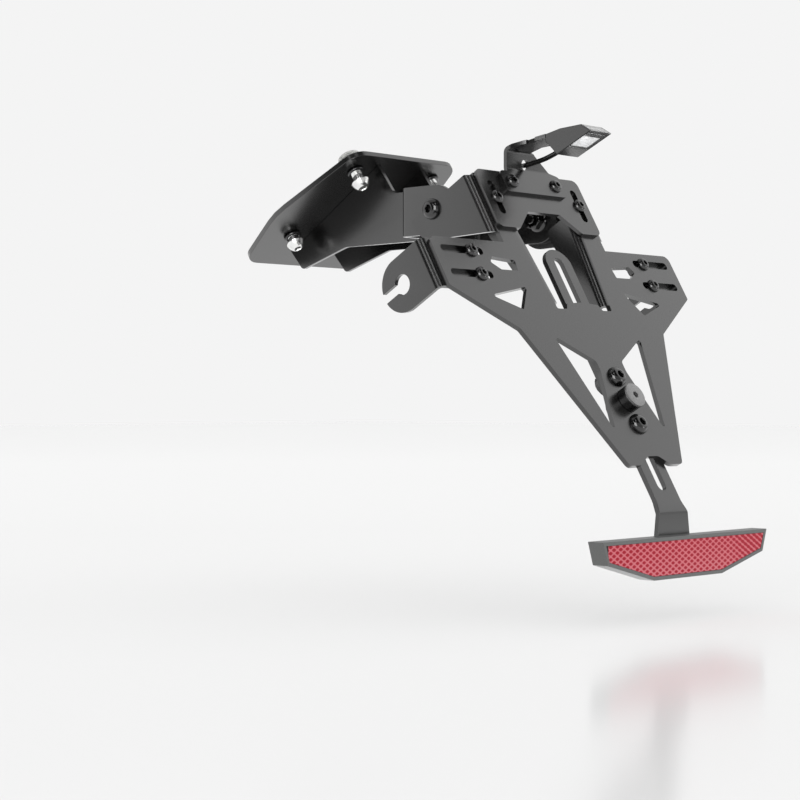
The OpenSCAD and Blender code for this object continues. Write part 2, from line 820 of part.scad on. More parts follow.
module indicator_nuts_right() {
    color("black") indicator_nuts();
}

// Reflector

// Front-side line of the reflector arm's rear face, from the pivot line as [forward, up]
strap_face = out_dir * (pivot_depth - sheet_t);
strap_head = strap_face + up_dir * (strap_top - pivot_rise);
strap_bend = strap_face + up_dir * (-strap_fold - pivot_rise);
tab_end = strap_bend - [0, tab_l];
strap_slot_end = strap_fold - 12;

module reflector_arm() {
    color("dimgray") difference() {
        intersection() {
            at_pivot() side_view(-strap_w, strap_w)
                polygon(folded([strap_head, strap_bend, tab_end], sheet_t, fold_r));
            // Sides of the strap and its tab, seen from the rear
            at_pivot() rotate([90, 0, 0]) translate([0, 0, -200]) linear_extrude(400) polygon(rounded(both([
                [0, strap_head[1] + 20, 0],
                [strap_w / 2, strap_head[1] + 20, 0],
                [strap_w / 2, strap_bend[1] + 5, 6],
                [strap_w / 2 + 1.6, strap_bend[1], 4],
                [strap_w / 2 + 4.6, tab_end[1], 0],
                [0, tab_end[1], 0]
            ])));
            // Round upper end, seen square to the sheet
            on_carrier() translate([0, 0, -60]) linear_extrude(80) polygon(rounded(both([
                [0, strap_top, 0],
                [strap_w / 2 + 0.3, strap_top, strap_w / 2],
                [strap_w / 2 + 0.3, -strap_fold + 20, 0],
                [strap_w, -strap_fold + 10, 0],
                [strap_w, -2 * strap_fold, 0],
                [0, -2 * strap_fold, 0]
            ])));
        }
        on_carrier() translate([0, -(strap_slot_end - strap_slot_top) / 2, -3 * sheet_t])
            linear_extrude(3 * sheet_t) rotate(90) slot(strap_slot_end + strap_slot_top, strap_slot_w);
        on_tab() for (s = [-1, 1])
            translate([s * stud_x, -stud_drop, -2 * sheet_t]) cylinder(d = small_d + hole_gap, h = 3 * sheet_t);
    }
}

// Rear view of the reflector from the middle of its top edge, as [right, up]
reflector_shoulder = [reflector_w / 2 - 3.7, -reflector_h * 0.55];
reflector_points = [
    [-reflector_w / 2, 0],
    [-reflector_shoulder[0], reflector_shoulder[1]],
    [-reflector_low_w / 2, -reflector_h],
    [reflector_low_w / 2, -reflector_h],
    [reflector_shoulder[0], reflector_shoulder[1]],
    [reflector_w / 2, 0]
];
stud_x = 8;
stud_drop = 5.5;

// The outline with every edge moved in by d
function inset(p, d) =
    [for (i = [0:len(p) - 1]) fold_in(p[(i + len(p) - 1) % len(p)], p[i], p[(i + 1) % len(p)], d)];

// Draws its child in the rear view: X right, Y up, Z to the rear, from the tab's rear face
module on_tab() {
    at_pivot() translate([0, strap_bend[0], strap_bend[1] - reflector_drop]) rotate([90, 0, 0]) children();
}

module reflector_housing() {
    color("black") on_tab() {
        difference() {
            linear_extrude(reflector_d) polygon(reflector_points);
            translate([0, 0, reflector_d - lens_t]) linear_extrude(lens_t + 1) polygon(inset(reflector_points, rim_w));
        }
        for (s = [-1, 1])
            translate([s * stud_x, -stud_drop, -sheet_t - small_d * 0.95 - 1])
                cylinder(d = small_d, h = sheet_t + small_d * 0.95 + 2);
    }
}

module reflector_lens() {
    color("red") on_tab() translate([0, 0, reflector_d - lens_t])
        linear_extrude(lens_t - 0.2) polygon(inset(reflector_points, rim_w + 0.1));
}

module reflector_nuts() {
    color("black") on_tab() for (s = [-1, 1])
        translate([s * stud_x, -stud_drop, -sheet_t]) flange_nut(small_d);
}

tail_plate();
side_arm_left();
side_arm_right();
tail_bolts();
tail_o_rings();
tail_washers();
tail_nuts();
carrier();
pivot_bolts();
pivot_nuts();
clamp_bolts();
clamp_nuts();
buffer();
buffer_screw();
light_plate_bolts();
light_plate_nuts();
light_plate();
light_bracket();
light_bracket_screws();
lamp_housing();
lamp_window();
lamp_lead();
indicator_bracket_left();
indicator_bolts_left();
indicator_nuts_left();
indicator_bracket_right();
indicator_bolts_right();
indicator_nuts_right();
reflector_arm();
reflector_housing();
reflector_lens();
reflector_nuts();
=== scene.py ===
import math

import bmesh
import bpy
import mathutils
import numpy as np
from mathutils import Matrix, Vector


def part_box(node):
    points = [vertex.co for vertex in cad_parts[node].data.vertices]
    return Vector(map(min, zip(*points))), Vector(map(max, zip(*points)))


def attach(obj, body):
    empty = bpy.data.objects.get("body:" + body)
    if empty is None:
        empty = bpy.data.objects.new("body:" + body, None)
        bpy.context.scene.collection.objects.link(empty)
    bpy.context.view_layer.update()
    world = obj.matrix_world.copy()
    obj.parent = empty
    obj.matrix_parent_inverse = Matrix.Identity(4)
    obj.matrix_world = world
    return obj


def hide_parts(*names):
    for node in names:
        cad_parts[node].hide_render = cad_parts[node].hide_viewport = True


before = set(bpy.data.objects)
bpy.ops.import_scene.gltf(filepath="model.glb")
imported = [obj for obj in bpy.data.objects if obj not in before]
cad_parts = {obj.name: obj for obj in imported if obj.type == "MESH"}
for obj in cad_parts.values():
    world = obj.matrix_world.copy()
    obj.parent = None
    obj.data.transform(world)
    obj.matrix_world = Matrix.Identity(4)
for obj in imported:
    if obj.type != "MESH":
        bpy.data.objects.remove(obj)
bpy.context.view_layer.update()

# Tail plate
# The flat sheet that bolts up under the tail, laser cut from 3 mm steel and powder coated
# satin black. Its four holes take the tail bolts, and its front edge is the low one.

SEAT_T = 0.003
COAT_EDGE = 0.00028
WELD = 0.000002  # Points nearer than this are one
FLAT = math.radians(0.6)  # Facets that turn by less are one face
CORNER = math.radians(40)  # Edges that turn by more are rounded


def linked(name, data):
    """A new object in the scene, at the origin."""
    thing = bpy.data.objects.new(name, data)
    bpy.context.scene.collection.objects.link(thing)
    return thing


def stands_for(piece, body, node):
    """Lets a piece ride on its body in place of a CAD node."""
    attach(piece, body)
    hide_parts(node)


def socket(shader, name, value):
    """Sets one of the shader's own sockets."""
    shader.inputs[name].default_value = value


def new_material(name):
    """A node material with one Principled shader: gives back the material, nodes, links and shader."""
    material = bpy.data.materials.new(name)
    material.use_nodes = True
    nodes, links = material.node_tree.nodes, material.node_tree.links
    nodes.clear()
    output = nodes.new("ShaderNodeOutputMaterial")
    shader = nodes.new("ShaderNodeBsdfPrincipled")
    links.new(shader.outputs[0], output.inputs[0])
    return material, nodes, links, shader


def noise(nodes, links, scale, detail):
    """Noise in object space, scale to the metre."""
    place = nodes.new("ShaderNodeTexCoord")
    grain = nodes.new("ShaderNodeTexNoise")
    grain.inputs["Scale"].default_value = scale
    grain.inputs["Detail"].default_value = detail
    links.new(place.outputs["Object"], grain.inputs["Vector"])
    return grain.outputs["Fac"]


def ramp(nodes, links, value, stops):
    """Colours along a value: stops are (place, colour)."""
    node = nodes.new("ShaderNodeValToRGB")
    spots = node.color_ramp.elements
    while len(spots) < len(stops):
        spots.new(0.5)
    for spot, (place, colour) in zip(spots, stops):
        spot.position = place
        spot.color = (*colour, 1)
    links.new(value, node.inputs[0])
    return node.outputs[0]


def drift(nodes, links, shader, name, value, low, high):
    """Lets one of the shader's sockets drift with a value, between two colours or two greys."""
    ends = [(level,) * 3 if isinstance(level, float) else level for level in (low, high)]
    links.new(ramp(nodes, links, value, [(0.3, ends[0]), (0.7, ends[1])]), shader.inputs[name])


def relief(nodes, links, shader, value, height, strength):
    """Bumps the surface by a value, height in metres."""
    bump = nodes.new("ShaderNodeBump")
    bump.inputs["Strength"].default_value = strength
    bump.inputs["Distance"].default_value = height
    links.new(value, bump.inputs["Height"])
    links.new(bump.outputs[0], shader.inputs["Normal"])


def powder_coat():
    """Satin black powder coat: fine orange peel over a near-black grey, gloss drifting a little."""
    material, nodes, links, shader = new_material("satin_powder_coat")
    cloud = noise(nodes, links, 28, 4)
    drift(nodes, links, shader, "Base Color", cloud, (0.004, 0.004, 0.004), (0.006, 0.0059, 0.0057))
    drift(nodes, links, shader, "Roughness", cloud, 0.22, 0.26)
    socket(shader, "IOR", 1.6)
    relief(nodes, links, shader, noise(nodes, links, 1100, 1), 0.00002, 0.12)
    return material


def creased(shape, angle):
    """Shades a mesh smooth, apart from the edges that turn by more than angle, in degrees."""
    for face in shape.faces:
        face.smooth = True
    for edge in shape.edges:
        edge.smooth = not (edge.is_manifold and edge.calc_face_angle(0) > math.radians(angle))


def softened(node, body, finish, width=COAT_EDGE):
    """The CAD node's shape with its edges rounded by width, as a coat of powder or a mould leaves them.

    Doubled points are merged and flat facets joined first, so that only true edges are rounded."""
    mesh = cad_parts[node].data.copy()
    mesh.name = node + "_shape"
    mesh.materials.clear()
    mesh.materials.append(finish)
    piece = linked(node + "_shape", mesh)
    shape = bmesh.new()
    shape.from_mesh(mesh)
    bmesh.ops.remove_doubles(shape, verts=shape.verts, dist=WELD)
    bmesh.ops.dissolve_limit(shape, angle_limit=FLAT, verts=shape.verts, edges=shape.edges)
    creased(shape, 35)
    shape.to_mesh(mesh)
    shape.free()
    rounding = piece.modifiers.new("rounded_edges", "BEVEL")
    rounding.width = width
    rounding.segments = 2
    rounding.limit_method = "ANGLE"
    rounding.angle_limit = CORNER
    rounding.harden_normals = True
    stands_for(piece, body, node)


black_coat = powder_coat()
softened("tail_plate", "adapter", black_coat)

# Side arms
# Two folded strips of 2.5 mm steel with the same coat. Each web is welded under the tail
# plate, jogs outwards and ends in a lug that takes a pivot bolt.

SHEET_T = 0.0025

softened("side_arm_left", "adapter", black_coat)
softened("side_arm_right", "adapter", black_coat)

# Tail bolts, rings, washers and nuts
# Zinc-plated M6 button-head bolts hang in the tail plate on rubber rings, with a flange
# nut and a pale nylon washer on each shank above it.

SEAT_LEAN = math.radians(32.4)
BOLTS_ACROSS, BOLTS_ALONG = 0.06, 0.06
HANGS = (0.0075, 0.005, 0.0075, 0.005)  # From the plate's underside to the heads
BIG_D = 0.006
TAIL_HEAD_D = 0.0105
RING_D = 0.0018
RING_R = 0.00393
SEAT_AIR = 0.00003  # A hair of air under heads and nuts, so that no two faces share a place
SHANK_AIR = 0.00002  # How much thinner than its nominal size a shank is
BROKEN_EDGE = 0.0002
NECK = 0.0003
SOCKET_HALF = 0.3  # Half width of a hexagon socket, as a share of the bolt's diameter
NUT_H = 0.95  # Height of a nut, as a share of the bolt's diameter
THREAD_PITCH = 0.16  # As a share of the bolt's diameter
THREAD_SWING = 0.06  # Half of the thread's depth, as a share of the bolt's radius
THREAD_FROM, THREAD_TO = 0.2, 0.78  # Shares of the shank's length


def zinc_plate():
    """Bright zinc: a pale metal with a faint drift of gloss and very fine rolled lines."""
    material, nodes, links, shader = new_material("bright_zinc")
    cloud = noise(nodes, links, 220, 4)
    drift(nodes, links, shader, "Base Color", cloud, (0.46, 0.46, 0.46), (0.58, 0.58, 0.57))
    drift(nodes, links, shader, "Roughness", cloud, 0.18, 0.28)
    socket(shader, "Metallic", 1.0)
    relief(nodes, links, shader, noise(nodes, links, 1800, 2), 0.00003, 0.2)
    return material


def gloss_black():
    """Black oxide under oil: near-black metal with a tight highlight."""
    material, nodes, links, shader = new_material("gloss_black_bolts")
    cloud = noise(nodes, links, 260, 3)
    drift(nodes, links, shader, "Base Color", cloud, 0.003, 0.006)
    drift(nodes, links, shader, "Roughness", cloud, 0.08, 0.13)
    socket(shader, "IOR", 1.5)
    relief(nodes, links, shader, noise(nodes, links, 2200, 2), 0.00002, 0.2)
    return material


def soft_rubber():
    """Moulded black rubber: smooth from its mould, with a fine mottle."""
    material, nodes, links, shader = new_material("black_rubber")
    mottle = noise(nodes, links, 900, 4)
    drift(nodes, links, shader, "Base Color", mottle, 0.006, 0.01)
    drift(nodes, links, shader, "Roughness", mottle, 0.18, 0.26)
    relief(nodes, links, shader, mottle, 0.00005, 0.3)
    return material


def pale_nylon():
    """Natural nylon: milky white, with a faint cloud in it."""
    material, nodes, links, shader = new_material("pale_nylon")
    cloud = noise(nodes, links, 500, 3)
    drift(nodes, links, shader, "Base Color", cloud, (0.84, 0.84, 0.82), (0.92, 0.92, 0.9))
    socket(shader, "Roughness", 0.5)
    socket(shader, "Transmission Weight", 0.6)
    relief(nodes, links, shader, cloud, 0.00003, 0.2)
    return material


def placed(origin, axis):
    """A 4 by 4 place whose Z runs along axis, with its X square to Z and to a fixed slanting line."""
    z = np.array(axis, float) / np.linalg.norm(axis)
    x = np.cross((0.3, 1, 0.2), z)
    x /= np.linalg.norm(x)
    place = np.eye(4)
    place[:3, :3] = np.column_stack([x, np.cross(z, x), z])
    place[:3, 3] = origin
    return place


def skinned(name, points, faces, finish):
    """A piece from an array of points in metres and its faces."""
    mesh = bpy.data.meshes.new(name)
    mesh.from_pydata(points.tolist(), [], faces)
    mesh.materials.append(finish)
    return linked(name, mesh)


def grid_mesh(name, sheets, finish):
    """One piece from grids of points, each rows x columns x 3, closed round its columns and at both ends."""
    points, faces, count = [], [], 0
    for sheet in sheets:
        rows, columns = sheet.shape[:2]
        number = np.arange(rows * columns).reshape(rows, columns) + count
        right = np.roll(number, -1, axis=1)
        quads = np.stack([number[:-1], right[:-1], right[1:], number[1:]], axis=-1).reshape(-1, 4)
        points.append(sheet.reshape(-1, 3))
        faces += quads.tolist() + [number[0][::-1].tolist(), number[-1].tolist()]
        count += rows * columns
    piece = skinned(name, np.concatenate(points), faces, finish)
    shape = bmesh.new()
    shape.from_mesh(piece.data)
    bmesh.ops.recalc_face_normals(shape, faces=shape.faces)
    creased(shape, 32)
    shape.to_mesh(piece.data)
    shape.free()
    return piece


def ring_rows(rings, place, columns=48):
    """Rings about Z, each (height, least radius, greatest radius, hexagon half width).

    A ring's radius at angle a is the hexagon's, half width / cos(a folded to +-30 degrees),
    kept between the least and the greatest, so equal limits give a circle."""
    angle = np.arange(columns) * 2 * np.pi / columns
    folded = (angle + np.pi / 6) % (np.pi / 3) - np.pi / 6
    z, low, high, half = (np.array(v)[:, None] for v in zip(*rings))
    radius = np.clip(half / np.cos(folded)[None, :], low, high)
    points = np.stack([radius * np.cos(angle), radius * np.sin(angle), z + 0 * radius, 1 + 0 * radius], -1)
    return (points @ place.T)[..., :3]


def circles(profile):
    """Round rings from (height, radius) pairs."""
    return [(z, r, r, r) for z, r in profile]


def bolt_rings(d, head_d, length, rise=0.3, band=0.04, flat=1.24, cone=0.0):
    """A button head over Z = 0 with a hexagon socket, and a threaded shank below it.

    The head is rise times its width tall, with a straight band at its foot, and a flat rim about
    the socket that is flat times as wide. At angle a up the dome the radius lies cos a of the
    way from rim to edge, as on a quarter ellipse; cone blends that with the straight taper
    1 - sin a. The socket's floor is a quarter of the way up. Each turn of the thread goes from
    its root out to the full radius and back."""
    half, edge, tall = d * SOCKET_HALF, head_d / 2, head_d * rise
    rim, shank = half * flat, d / 2 - SHANK_AIR
    rings = [(tall * 0.25, half * 0.05, half * 0.05, half), (tall * 0.25, 0, half * 2, half),
             (tall * 0.86, 0, half * 2, half), (tall * 0.93, half * 1.1, half * 2, half * 1.04),
             (tall, half * 1.2, half * 2, half * 1.1)]
    lean = np.radians(np.linspace(86, 4, 9))
    out = rim + (edge - rim) * ((1 - cone) * np.cos(lean) + cone * (1 - np.sin(lean)))
    up = tall * (band + (1 - band) * np.sin(lean))
    rings += circles(zip(up, out))
    rings += circles([(band * tall, edge), (BROKEN_EDGE, edge), (SEAT_AIR, edge - BROKEN_EDGE),
                      (SEAT_AIR, d / 2 + NECK), (-NECK, shank)])
    turns = max(6, int(round(length * 0.75 / (d * THREAD_PITCH))))
    half_turn = np.arange(2 * turns + 1)
    start, end = -length * THREAD_FROM, -length * THREAD_TO
    down = start + (end - start) * half_turn / (2 * turns)
    thread = d / 2 * (1 - THREAD_SWING * (1 + (-1) ** half_turn))
    rings += circles([(start, shank)]) + circles(zip(down, thread))
    return rings + circles([(-length + d * 0.08, d * 0.42), (-length, d * 0.36), (-length, d * 0.02)])


def nut_rings(d):
    """A flange nut hanging below Z = 0: round flange, hexagon with turned corners, threaded bore."""
    half, tall, flange = d * 5 / 6, d * NUT_H, d * 1.1
    rings = circles([(-SEAT_AIR, d * 0.51), (-SEAT_AIR, flange - BROKEN_EDGE), (-BROKEN_EDGE, flange),
                     (-d * 0.12, flange), (-d * 0.2, flange * 0.94)])
    rings += [(-d * 0.27, 0, half * 1.14, half), (-tall * 0.86, 0, half * 1.14, half),
              (-tall * 0.95, 0, half * 1.04, half), (-tall, 0, half * 0.94, half * 0.94)]
    half_turn = np.arange(9)
    bore = zip(-tall * (0.94 - 0.11 * half_turn), d * (0.505 + 0.012 * (-1) ** half_turn))
    return rings + circles([(-tall, d * 0.56), *bore])


def shank_length(d, grip, past=0.25):
    """A bolt's length through grip: the nut's height, and past times the diameter beyond it."""
    return grip + (NUT_H + past) * d


def fasten(name, node, body, finish, places, rings):
    """Sets one turned shape at each place and lets them stand for a CAD node."""
    piece = grid_mesh(name, [ring_rows(r, p) for r, p in zip(rings, places)], finish)
    stands_for(piece, body, node)


seat_up = np.array([0, math.sin(SEAT_LEAN), math.cos(SEAT_LEAN)])
seat_along = np.array([0, math.cos(SEAT_LEAN), -math.sin(SEAT_LEAN)])
bolt_spots = [np.array([x * BOLTS_ACROSS, 0, 0]) + y * BOLTS_ALONG * seat_along
              for x in (-0.5, 0.5) for y in (-0.5, 0.5)]
zinc, bolt_black, rubber, nylon = zinc_plate(), gloss_black(), soft_rubber(), pale_nylon()
fasten("tail_bolts_turned", "tail_bolts", "adapter", zinc,
       [placed(p - (SEAT_T + h) * seat_up, -seat_up) for p, h in zip(bolt_spots, HANGS)],
       [bolt_rings(BIG_D, TAIL_HEAD_D, shank_length(BIG_D, h + SEAT_T, 1 / 3), 0.4, 0.06, 1.3, 0.5)
        for h in HANGS])
fasten("tail_nuts_turned", "tail_nuts", "adapter", zinc,
       [placed(p, -seat_up) for p in bolt_spots], [nut_rings(BIG_D)] * 4)
softened("tail_washers", "adapter", nylon, 0.0002)


def rubber_ring(spot, middle, across, columns=48, rows=16):
    """A torus about the bolt: circle of radius middle swept by a circle across wide."""
    u = np.linspace(0, 2 * np.pi, columns, endpoint=False)
    v = np.linspace(0, 2 * np.pi, rows, endpoint=False)[:, None]
    r = middle + across / 2 * np.cos(v)
    points = np.stack([r * np.cos(u), r * np.sin(u), across / 2 * np.sin(v) + 0 * u, 1 + 0 * r * u], -1)
    return (points @ placed(spot, seat_up).T)[..., :3]


def torus_mesh(name, rings, finish):
    """One piece of closed rings: in each grid the last row meets the first, and so do the columns."""
    points, faces, count = [], [], 0
    for ring in rings:
        rows, columns = ring.shape[:2]
        number = np.arange(rows * columns).reshape(rows, columns) + count
        right, below = np.roll(number, -1, axis=1), np.roll(number, -1, axis=0)
        faces += np.stack([number, right, np.roll(right, -1, axis=0), below], -1).reshape(-1, 4).tolist()
        points.append(ring.reshape(-1, 3))
        count += rows * columns
    piece = skinned(name, np.concatenate(points), faces, finish)
    piece.data.shade_smooth()
    return piece


ring_drop = (SEAT_T + RING_D / 2) * seat_up
tail_rings = torus_mesh("tail_rings_moulded",
                        [rubber_ring(p - ring_drop, RING_R, RING_D) for p in bolt_spots], rubber)
stands_for(tail_rings, "adapter", "tail_o_rings")

# Carrier
# One laser-cut sheet of 2.5 mm steel, folded at the hinge flanges and at the two stiffening
# flanges beside its centre opening, and powder coated. It holds the plate, the light, the
# indicators and the reflector arm.

softened("carrier", "carrier", black_coat)

# Bolts and nuts of the carrier
# Oiled black button-head bolts with flange nuts: M6 at the pivots and the reflector arm,
# M4 at the light plate. A rubber buffer for the number plate sits between the two clamps.

LEAN = math.radians(30)
PIVOT = np.array([0, -0.0984, -0.0132])
PIVOT_RISE, PIVOT_DEPTH = 0.0463, 0.0297
HEAD_W = 0.09
CLAMP_Y = (-0.0712, -0.0984)
BIG_HEAD_D = 0.011
SMALL_D, SMALL_HEAD_D = 0.004, 0.0076
LIGHT_T = 0.002
LIGHT_BOLT_X, LIGHT_BOLT_Y = 0.0332, 0.0334
SLIDE_PLAY = 0.00003  # Under the heads, so that the light plate can slide
BUFFER_H = 0.0062
DISC_R, DISC_H, DISC_EDGE = 0.0065, 0.0012, 0.0001
KEY_HALF, KEY_DEEP = 0.00165, 0.003
up_sheet = np.array([0, math.sin(LEAN), math.cos(LEAN)])
out_sheet = np.array([0, -math.cos(LEAN), math.sin(LEAN)])


def on_pivot(x, y, z):
    """A point from the middle of the pivot line: right, forward and up."""
    return PIVOT + np.array([x, y, z])


def on_sheet(x, y, z):
    """A point of the carrier: x right, y above the upper indicator slots, z out of its rear face."""
    return on_pivot(x, 0, 0) + (y - PIVOT_RISE) * up_sheet + (z + PIVOT_DEPTH) * out_sheet


def on_both_sides(x, y, z):
    """The places of a pair of bolts, left and right, square to the carrier's rear face."""
    return [placed(on_sheet(s * x, y, z), out_sheet) for s in (-1, 1)]


big_bolt = bolt_rings(BIG_D, BIG_HEAD_D, shank_length(BIG_D, 2 * SHEET_T))
fasten("pivot_bolts_turned", "pivot_bolts", "carrier", bolt_black,
       [placed(on_pivot(s * HEAD_W / 2, 0, 0), (s, 0, 0)) for s in (-1, 1)], [big_bolt] * 2)
fasten("pivot_nuts_turned", "pivot_nuts", "carrier", bolt_black,
       [placed(on_pivot(s * (HEAD_W / 2 - 2 * SHEET_T), 0, 0), (s, 0, 0)) for s in (-1, 1)],
       [nut_rings(BIG_D)] * 2)
fasten("clamp_bolts_turned", "clamp_bolts", "carrier", bolt_black,
       [placed(on_sheet(0, y, 0), out_sheet) for y in CLAMP_Y], [big_bolt] * 2)
buffer_y = sum(CLAMP_Y) / 2
fasten("clamp_nuts_turned", "clamp_nuts", "carrier", bolt_black,
       [placed(on_sheet(0, y, -2 * SHEET_T), out_sheet) for y in (*CLAMP_Y, buffer_y)],
       [nut_rings(BIG_D)] * 3)
softened("buffer", "carrier", rubber, 0.0003)


def grey_disc():
    """Phosphated steel: a flat mid grey with a soft sheen."""
    material, nodes, links, shader = new_material("grey_disc")
    cloud = noise(nodes, links, 300, 4)
    drift(nodes, links, shader, "Base Color", cloud, 0.19, 0.23)
    socket(shader, "Roughness", 0.45)
    socket(shader, "Metallic", 0.4)
    relief(nodes, links, shader, noise(nodes, links, 1600, 2), 0.00003, 0.2)
    return material


screw_l = shank_length(BIG_D, BUFFER_H - DISC_H + 2 * SHEET_T)
disc_rings = [(-KEY_DEEP, 0.0001, 0.0001, 0.001), (-KEY_DEEP, 0, 0.01, KEY_HALF),
              (DISC_H - DISC_EDGE, 0, 0.01, KEY_HALF), (DISC_H, 0.0018, 0.01, 0.0018)]
disc_rings += circles([(DISC_H, DISC_R - 2 * DISC_EDGE), (DISC_H - DISC_EDGE, DISC_R), (DISC_EDGE, DISC_R),
                       (0, DISC_R - DISC_EDGE), (0, BIG_D / 2), (BROKEN_EDGE - screw_l, BIG_D / 2),
                       (-screw_l, BIG_D / 2 - 2 * BROKEN_EDGE), (-screw_l, 0.0001)])
fasten("buffer_screw_turned", "buffer_screw", "carrier", grey_disc(),
       [placed(on_sheet(0, buffer_y, BUFFER_H - DISC_H), out_sheet)], [disc_rings])
light_grip = LIGHT_T + SLIDE_PLAY + SHEET_T
fasten("light_plate_bolts_turned", "light_plate_bolts", "carrier", bolt_black,
       on_both_sides(LIGHT_BOLT_X, LIGHT_BOLT_Y, LIGHT_T + SLIDE_PLAY),
       [bolt_rings(SMALL_D, SMALL_HEAD_D, shank_length(SMALL_D, light_grip))] * 2)
fasten("light_plate_nuts_turned", "light_plate_nuts", "carrier", bolt_black,
       on_both_sides(LIGHT_BOLT_X, LIGHT_BOLT_Y, -SHEET_T), [nut_rings(SMALL_D)] * 2)

# Light plate, bracket and screws
# A 2 mm plate slides on the carrier's head, and the folded bracket is screwed to it with two
# M4 button heads. Its narrow arm slopes up to the lamp; the hole passes the lamp's lead.

SCREW_X, SCREW_Y = 0.0173, 0.0432
SCREW_SHORT = 0.00005  # How far the screws end above the light plate's front face

softened("light_plate", "light", black_coat)
softened("light_bracket", "light", black_coat)
fasten("light_bracket_screws_turned", "light_bracket_screws", "light", bolt_black,
       on_both_sides(SCREW_X, SCREW_Y, 2 * LIGHT_T),
       [bolt_rings(SMALL_D, SMALL_HEAD_D, 2 * LIGHT_T - SCREW_SHORT)] * 2)

# Lamp
# A small moulded housing in satin black plastic with a clear window let into its
# underside and rear end, over white diodes. It is bonded to the end of the arm.

ARM_START, ARM_FOLD = -0.02653, 0.0305
ARM_L, ARM_SLOPE = 0.019, math.radians(16)
LAMP_TIP, LAMP_LOW = np.array([-0.0295, -0.001]), np.array([-0.0075, -0.0112])
LENS_IN = 0.008
BOARD_HALF_W, BOARD_IN, BOARD_L = 0.0062, 0.0008, 0.0092
BOARD_DEEP, BOARD_CROWN, BOARD_T = 0.0017, 0.0003, 0.0002


def lamp_plastic():
    """Satin black moulding with a fine spark-eroded grain."""
    material, nodes, links, shader = new_material("lamp_black")
    grain = noise(nodes, links, 1800, 3)
    drift(nodes, links, shader, "Base Color", grain, 0.008, 0.013)
    socket(shader, "Roughness", 0.24)
    socket(shader, "IOR", 1.6)
    relief(nodes, links, shader, grain, 0.00002, 0.12)
    return material


def lamp_glass():
    """Clear window: light smoke, glossy, with the faint waves of a moulding."""
    material, nodes, links, shader = new_material("lamp_clear")
    wave = noise(nodes, links, 120, 2)
    drift(nodes, links, shader, "Base Color", wave, (0.74, 0.75, 0.76), (0.84, 0.85, 0.86))
    socket(shader, "Roughness", 0.06)
    socket(shader, "Transmission Weight", 0.9)
    socket(shader, "IOR", 1.49)
    relief(nodes, links, shader, wave, 0.00004, 0.1)
    return material


softened("lamp_housing", "light", lamp_plastic(), 0.0005)
softened("lamp_window", "light", lamp_glass(), 0.0002)
lamp_joint = np.array([ARM_START - ARM_L, ARM_FOLD + ARM_L * math.tan(ARM_SLOPE) + LIGHT_T])
under = (LAMP_TIP - LAMP_LOW) / np.linalg.norm(LAMP_TIP - LAMP_LOW)
inward = np.array([under[1], -under[0]])
lens_start = lamp_joint + LAMP_LOW + LENS_IN * under


def diode_board():
    """White diode board: matte white with a faint cloud, and a faint painted glow that brightens it."""
    material, nodes, links, shader = new_material("white_diodes")
    cloud = noise(nodes, links, 900, 2)
    drift(nodes, links, shader, "Base Color", cloud, 0.8, 0.88)
    socket(shader, "Roughness", 0.45)
    # Painted glow: the board is no lamp here, and the glow makes up for light that the window keeps from it.
    socket(shader, "Emission Color", (1, 1, 1, 1))
    socket(shader, "Emission Strength", 0.45)
    return material


def board_sheet(half_w, start, reach, depth, crown, columns=13, rows=17):
    """A board inside the window: x goes across it and s along the slope, both from -1 to 1.

    Its depth under the window is depth - crown (1 - x squared) (1 - s squared)."""
    x = np.linspace(-1, 1, columns)[None, :]
    s = np.linspace(-1, 1, rows)[:, None]
    along = start + (s + 1) / 2 * reach
    rise = depth - crown * (1 - x ** 2) * (1 - s ** 2)
    spot = lens_start + along[..., None] * under + rise[..., None] * inward
    return PIVOT + np.stack([x * half_w + 0 * s, spot[..., 0], spot[..., 1]], -1)


def open_sheet(name, grid, finish):
    """One open sheet from a grid of points, rows x columns x 3."""
    rows, columns = grid.shape[:2]
    number = np.arange(rows * columns).reshape(rows, columns)
    quads = np.stack([number[:-1, :-1], number[:-1, 1:], number[1:, 1:], number[1:, :-1]], -1).reshape(-1, 4)
    return skinned(name, grid.reshape(-1, 3), quads.tolist(), finish)


board = open_sheet("diode_board", board_sheet(BOARD_HALF_W, BOARD_IN, BOARD_L, BOARD_DEEP, BOARD_CROWN),
                   diode_board())
board.data.shade_smooth()
thick = board.modifiers.new("board_thickness", "SOLIDIFY")
thick.thickness = BOARD_T
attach(board, "light")

# Lead of the lamp
# A round black cable that leaves the front of the lamp and passes through the hole in the
# bracket's wall. It is held at both ends.

LEAD_D = 0.0026
wall_hole = on_pivot(-0.0021, ARM_START, 0.0242)
lead_route = wall_hole + np.array([
    (-4.1, -27.4, 5.2), (-3.6, -25, 4.4), (-3.1, -22.6, 3.6), (-2.4, -18.6, 2.6), (-1.7, -14.5, 1.7),
    (-1, -10.5, 1.1), (-0.4, -6.5, 0.6), (0, -3, 0.1), (0.1, 0, -0.2), (0.2, 2, -0.3), (0.3, 4, -0.4)]) / 1000


def cable_sheath():
    """Black cable sheath: smooth plastic with a long soft highlight."""
    material, nodes, links, shader = new_material("cable_sheath")
    grain = noise(nodes, links, 700, 3)
    drift(nodes, links, shader, "Base Color", grain, 0.006, 0.01)
    socket(shader, "Roughness", 0.2)
    relief(nodes, links, shader, grain, 0.00002, 0.15)
    return material


